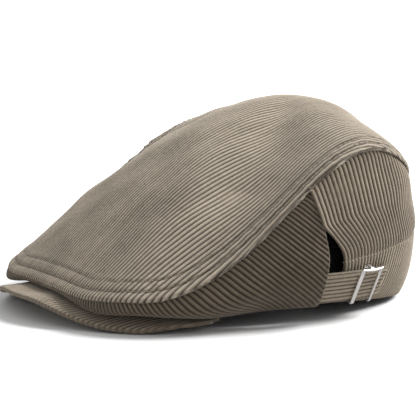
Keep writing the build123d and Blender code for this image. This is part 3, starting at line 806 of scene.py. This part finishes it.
# ---------------------------------------------------------------- strap, buckle and tab
def strap_at(turn, across, out):
    """Points on the strap: turn about its axis, across its width, out from its middle."""
    a, lean = np.radians(turn), radians(STRAP_LEAN)
    radius = STRAP_RADIUS + across * sin(lean) + out * cos(lean)
    z = STRAP_MID_Z + across * cos(lean) - out * sin(lean)
    return np.stack(np.broadcast_arrays(radius * np.sin(a), -radius * np.cos(a), z), -1) + STRAP_AXIS


def strap():
    """Doubled strip with ribs along it and a rounded free end."""
    turn = np.linspace(STRAP_ROOT, STRAP_TIP, 240)[:, None]
    to_tip = (STRAP_TIP - turn) * STRAP_DEGREE
    narrowing = fold_drop(to_tip, 2.6)
    share = np.linspace(-1, 1, 64)[None, :]
    across = share * (STRAP_WIDTH / 2 - narrowing)
    base = strap_at(turn, across, STRAP_THICKNESS / 2)
    phase = np.broadcast_to(share * STRAP_WIDTH / 2 / WALE_PITCH + 0.5, base.shape[:2])
    crest = rib(phase)
    relief = 0.55 * WALE_HEIGHT * (crest - 1) - 0.1
    return cloth("strap_cloth", base, band_cloth_painted_lit, relief, (1 - crest) * 0.9,
                 wale_nap(phase, 10), thickness=STRAP_THICKNESS - 0.2, folds="UvV")


def buckle_point(x, y, z):
    """Point in the buckle's own axes: along the strap, up its width, out from its face."""
    a, lean = radians((BUCKLE_FRONT + BUCKLE_REAR) / 2), radians(STRAP_LEAN)
    along = np.array([cos(a), sin(a), 0])
    outward = np.array([sin(a) * cos(lean), -cos(a) * cos(lean), -sin(lean)])
    up = np.cross(outward, along)
    origin = strap_at((BUCKLE_FRONT + BUCKLE_REAR) / 2, 0.0, STRAP_THICKNESS / 2 + BAR_LIFT)
    return origin + x * along + y * up + z * outward


def bar(path, width, thickness, side):
    """Rounded bar along a path in the buckle's axes; side is the direction of its width."""
    path = np.asarray(path, float)
    ahead = np.gradient(path, axis=0)
    ahead /= np.linalg.norm(ahead, axis=1, keepdims=True)
    side = np.asarray(side, float)
    out = np.cross(ahead, side)
    turn = np.linspace(0, tau, 16, endpoint=False)
    power = 0.55
    cx = np.sign(np.cos(turn)) * np.abs(np.cos(turn)) ** power * width / 2
    cy = np.sign(np.sin(turn)) * np.abs(np.sin(turn)) ** power * thickness / 2
    rings = path[:, None] + cx[None, :, None] * side + cy[None, :, None] * out[:, None]
    vertices = [buckle_point(*p) for p in rings.reshape(-1, 3)]
    n = len(turn)
    faces = [(k * n + s, k * n + (s + 1) % n, (k + 1) * n + (s + 1) % n, (k + 1) * n + s)
             for k in range(len(path) - 1) for s in range(n)]
    faces += [tuple(range(n))[::-1], tuple((len(path) - 1) * n + s for s in range(n))]
    return vertices, faces


def buckle():
    """Slider: wide front bar, thin rear bar, an arched upper rail, a lower rail behind the strap."""
    half = radians(BUCKLE_REAR - BUCKLE_FRONT) / 2 * STRAP_RADIUS
    rail_y = STRAP_WIDTH / 2 + BUCKLE_CLEARANCE + RAIL_WIDTH / 2
    mid = BAR_THICKNESS / 2
    centre_z = -BAR_LIFT - STRAP_THICKNESS - BUCKLE_CLEARANCE - TAB_THICKNESS - 0.1 - CENTRE_BAR_THICKNESS / 2
    low_z = centre_z - CENTRE_BAR_THICKNESS / 2 + LOW_RAIL_THICKNESS / 2
    x_end = half + FRONT_BAR_WIDTH / 2 - 0.4
    corner = 1.0
    bend = np.linspace(0, pi / 2, 6)
    hook = [(rail_y - 0.1, mid), (0, mid)]
    hook += [(-rail_y + corner * (1 - sin(a)), mid - corner * (1 - cos(a))) for a in bend]
    hook += [(-rail_y, low_z)]
    parts = [bar([(x, y, z) for y, z in hook], width, BAR_THICKNESS, (1, 0, 0))
             for x, width in ((-half, FRONT_BAR_WIDTH), (half, REAR_BAR_WIDTH))]
    parts.append(bar([(0, y, centre_z) for y in np.linspace(-rail_y, rail_y, 5)],
                     CENTRE_BAR_WIDTH, CENTRE_BAR_THICKNESS, (1, 0, 0)))
    parts.append(bar([(x, -rail_y, low_z) for x in np.linspace(-x_end, x_end, 5)],
                     RAIL_WIDTH, LOW_RAIL_THICKNESS, (0, 1, 0)))
    parts.append(bar([(x * x_end, rail_y, mid + RAIL_ARCH * (1 - x * x)) for x in np.linspace(-1, 1, 25)],
                     RAIL_WIDTH, BAR_THICKNESS, (0, 1, 0)))
    parts.append(bar([(0, rail_y, z) for z in np.linspace(mid + RAIL_ARCH - 0.5, centre_z, 5)],
                     CENTRE_BAR_WIDTH, RAIL_WIDTH - 0.15, (1, 0, 0)))
    vertices, faces = [], []
    for part_vertices, part_faces in parts:
        start = len(vertices)
        vertices += part_vertices
        faces += [tuple(start + i for i in face) for face in part_faces]
    return new_object("buckle_plate", vertices, faces, metal_material)


def buckle_tab():
    """Tape loop round the centre bar, sewn down on the band behind it."""
    middle = (BUCKLE_FRONT + BUCKLE_REAR) / 2
    top = -STRAP_THICKNESS / 2 - BUCKLE_CLEARANCE - TAB_THICKNESS / 2
    drop = TAB_THICKNESS + CENTRE_BAR_THICKNESS + 0.2
    nose = middle - (CENTRE_BAR_WIDTH / 2 + 0.4) / STRAP_DEGREE
    bend = np.linspace(-pi / 2, pi / 2, 9)
    turn = np.concatenate([np.linspace(TAB_END, nose, 24), nose - np.cos(bend) * 0.2,
                           np.linspace(nose, TAB_END, 24)])
    out = np.concatenate([np.full(24, top), top - drop * (1 + np.sin(bend)) / 2, np.full(24, top - drop)])
    across = np.linspace(TAB_WIDTH / 2, -TAB_WIDTH / 2, 60)[None, :]
    base = strap_at(turn[:, None], across, out[:, None])
    phase = np.broadcast_to(across / WALE_PITCH, base.shape[:2])
    crest = rib(phase)
    return cloth("tab_tape", base, back_cloth_painted_half_lit, 0.1 * (crest - 1), 1 - crest, thickness=0.35, folds="")


def strap_stitches(tree):
    """Edge row along the strap's upper side, and the zigzag bar across its free end."""
    turn = np.linspace(STRAP_ROOT + 1, STRAP_TIP - 0.6, 200)
    edge = strap_at(turn, STRAP_WIDTH / 2 - 2.0, STRAP_THICKNESS / 2)
    row = stitches("strap_edge_stitches", edge, tree, thread_material, 2.0, 0.8, 0.17, lift=0.08)
    teeth = 12
    rise = np.linspace(-6.6, 6.6, teeth + 1)
    swing = np.where(np.arange(teeth + 1) % 2, 1.0, -1.0)
    corners = strap_at(STRAP_TIP - 1.1 + swing / STRAP_DEGREE, rise, STRAP_THICKNESS / 2)
    share = np.linspace(0, 1, 12)[:, None]
    path = np.concatenate([a + (b - a) * share for a, b in zip(corners[:-1], corners[1:])])
    tack = stitches("strap_tack_stitches", path, tree, thread_material, 2.6, 0.05, 0.24, lift=0.14)
    return row, tack


# ---------------------------------------------------------------- inside
def sweatband_foot(angle):
    """Radius and height of the sweatband's lower edge, and its lean in radians."""
    radius, z = hem(angle)
    pull = np.where(angle < 360, tuck(angle, 0), 0)
    return radius - SWEATBAND_DEPTH - pull, z, np.radians(blend(angle, *SWEATBAND_LEAN))


def sweatband():
    """Twill tape inside the hem, laid back under the low front."""
    start, end = BAND_FRONT + 0.5, SIDE_EDGE - 0.3 + 360.0
    angle, v = np.meshgrid(np.linspace(start, end, 700), np.linspace(0, 1, 40), indexing="ij")
    radius, z, lean = sweatband_foot(angle)
    radius = radius - v * SWEATBAND_HEIGHT * np.sin(lean)
    base = place(angle, radius, z + 1.0 + v * SWEATBAND_HEIGHT * np.cos(lean))
    wave = 0.35 * ripple(base, 30, 71) * smooth(v / 0.2)
    return cloth("sweatband_tape", base, tape_material, wave, 0.3, thickness=1.0)


def lining_side(name, start, end):
    """Lining between two turn angles, from the sweatband's top to the top seam."""
    angle, v = np.meshgrid(np.linspace(start, end, 260), np.linspace(0, 1, 60), indexing="ij")
    radius, z, lean = sweatband_foot(angle)
    low_r = radius - SWEATBAND_HEIGHT * np.sin(lean)
    low_z = z + 1.8 + SWEATBAND_HEIGHT * np.cos(lean)
    high_r, high_z = seam(angle)
    bulge = 4.0 * blend(angle, 0.0, 1.0, 1.0) * 4 * v * (1 - v)
    r = low_r + v * (high_r - 5.0 - low_r) + bulge
    base = place(angle, r, low_z + v * (high_z - LINING_DROP - low_z))
    slack = np.sin(pi * v) * 0.6 * ripple(base, 22, 81)
    return cloth(name, base, lining_material, slack, 0.3, thickness=0.4, folds="")


def lining_top():
    """Top lining, a little inside the top panel."""
    share, inset = 0.95, 2.6
    base = dome_grid(SEAM[0] * share * np.sin(np.linspace(-pi / 2, pi / 2, 160)), 160, share)
    base = base - normals(base) * inset
    return cloth("lining_top_satin", base, lining_material, 0.4 * ripple(base, 30, 82), 0.3,
                 thickness=0.4, folds="")


def facing(name, angle_of, low, high, shift):
    """Narrow turning inside one edge of the slit."""
    u, v = np.meshgrid(np.linspace(0, 1, 24), np.linspace(0, 1, 60), indexing="ij")
    t = low + v * (high - low)
    angle = angle_of(u, t)
    radius, z = side_rz(angle, t)
    base = place(angle, radius + shift(angle, t), z)
    base = base - normals(base) * FACING_DEPTH
    phase = lengths(base, 1) / WALE_PITCH
    crest = rib(phase)
    return cloth(name, base, back_cloth_painted_half_lit, 0.15 * (crest - 1), 1 - crest, thickness=0.55)


# ---------------------------------------------------------------- assembly
def crown():
    """Panels of the crown, which bend from the crown to the peak at the front."""
    top = top_panel()
    left = side_panel("cloth_side_left", 1)
    right = side_panel("cloth_side_right", -1)
    back, band = back_panel(), back_band()
    tree = surface_tree(top)
    rows = [stitches(f"topstitch_row_{i + 1}", seam_row(row), tree, thread_material)
            for i, row in enumerate(STITCH_ROWS)]
    for piece, node in ((top, "top_panel"), (left, "side_panel_left"), (right, "side_panel_right")):
        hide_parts(node)
        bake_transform(piece)
    for piece in rows:
        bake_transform(piece)
    for piece, node in ((back, "back_panel"), (band, "back_band")):
        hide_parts(node)
        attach(piece, "crown")


def peak():
    """The peak's two covers; its board stays as it is, inside them."""
    for node, upper in (("peak_upper_cover", True), ("peak_lower_cover", False)):
        piece = peak_cover(node.replace("peak", "cloth_peak"), upper)
        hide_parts(node)
        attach(piece, "peak")
    frame["nodes"]["peak_board"].data.materials.clear()
    frame["nodes"]["peak_board"].data.materials.append(board_material)


def closure():
    """Strap, its stitches, the buckle and the tab."""
    piece = strap()
    row, tack = strap_stitches(surface_tree(piece))
    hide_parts("strap")
    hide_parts("strap_tack")
    for part in (piece, row, tack):
        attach(part, "strap")
    plate, tab = buckle(), buckle_tab()
    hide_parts("buckle")
    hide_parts("buckle_tab")
    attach(plate, "crown")
    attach(tab, "crown")


def inside():
    """Sweatband, lining and the slit's facings."""
    band = sweatband()
    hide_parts("sweatband")
    pieces = [(lining_top(), "lining_top"),
              (lining_side("lining_left_satin", 360.1, 360.0 + SIDE_EDGE - 0.3), "lining_left"),
              (lining_side("lining_right_satin", 360.0 - SIDE_EDGE, 359.9), "lining_right"),
              (lining_side("lining_back_satin", BAND_FRONT + 0.5, 360.0 - SIDE_EDGE - 0.3), "lining_back")]
    for piece, node in pieces:
        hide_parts(node)
    for piece in [band] + [piece for piece, _ in pieces]:
        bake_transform(piece)
    foot = float(band_v(np.array([BAND_FRONT]))[0]) + 0.02
    front = facing("facing_front_cloth", lambda u, t: SIDE_EDGE - 0.2 - (1 - u) * FACING_ANGLE,
                   0.36, SLIT_APEX, flare)
    rear = facing("facing_rear_cloth", lambda u, t: slit_edge(t) + 0.2 + u * FACING_ANGLE,
                  foot, SLIT_APEX - 0.01, lambda a, t: -tuck(a, t))
    for piece, node in ((front, "slit_facing_front"), (rear, "slit_facing_rear")):
        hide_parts(node)
        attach(piece, "crown")


# ---------------------------------------------------------------- floor, light and camera
def floor_material():
    """White floor that throws back only part of the light onto the cap."""
    shader = Shader("floor")
    shader.set(Base_Color=(0.95, 0.95, 0.95, 1), Roughness=0.9, Specular_IOR_Level=0.0)
    dim = shader.node("ShaderNodeBsdfDiffuse", {"Color": (0.45, 0.44, 0.43, 1)})
    seen = shader.node("ShaderNodeLightPath")
    mix = shader.node("ShaderNodeMixShader", {0: seen.outputs["Is Camera Ray"]})
    shader.tree.links.new(dim.outputs[0], mix.inputs[1])
    shader.tree.links.new(shader.surface.outputs[0], mix.inputs[2])
    shader.tree.links.new(mix.outputs[0], shader.tree.nodes["Material Output"].inputs["Surface"])
    return shader.material


def stage():
    """Pale floor, soft light and the camera."""
    corners = [(x * FLOOR_REACH, y * FLOOR_REACH, 0) for x, y in ((-1, -1), (1, -1), (1, 1), (-1, 1))]
    floor = new_object("floor", corners, [(0, 1, 2, 3)], floor_material())
    world = bpy.data.worlds.new("studio")
    world.use_nodes = True
    tree = world.node_tree
    seen = tree.nodes.new("ShaderNodeLightPath")
    strength = tree.nodes.new("ShaderNodeMapRange")
    strength.inputs["To Min"].default_value, strength.inputs["To Max"].default_value = AMBIENT, 1.0
    tree.links.new(seen.outputs["Is Camera Ray"], strength.inputs["Value"])
    tree.links.new(strength.outputs[0], tree.nodes["Background"].inputs["Strength"])
    tree.nodes["Background"].inputs["Color"].default_value = (1, 1, 1, 1)
    bpy.context.scene.world = world
    target = Vector(((CENTRE + np.array([0, 0, TARGET_HEIGHT])) * MM).tolist())
    data = bpy.data.lights.new("key", "SUN")
    data.energy, data.angle = KEY_STRENGTH, radians(KEY_SPREAD)
    key = bpy.data.objects.new("key", data)
    key.rotation_euler = Vector(KEY_FROM).to_track_quat("Z", "Y").to_euler()
    bpy.context.scene.collection.objects.link(key)
    azimuth, elevation = radians(CAMERA_AZIMUTH), radians(CAMERA_ELEVATION)
    towards = Vector((sin(azimuth) * cos(elevation), -cos(azimuth) * cos(elevation), sin(elevation)))
    data = bpy.data.cameras.new("camera")
    data.lens, data.sensor_width = CAMERA_LENS, CAMERA_SENSOR
    data.shift_x, data.shift_y = CAMERA_SHIFT_X, CAMERA_SHIFT_Y
    camera = bpy.data.objects.new("camera", data)
    camera.location = target + towards * CAMERA_DISTANCE
    camera.rotation_euler = (-towards).to_track_quat("-Z", "Y").to_euler()
    bpy.context.scene.collection.objects.link(camera)
    bpy.context.scene.camera = camera
    bpy.context.scene.view_settings.view_transform = "Standard"


stage()
crown()
peak()
closure()
inside()
for unused in [o for o in bpy.data.objects if "outside" in o]:
    del unused["outside"]
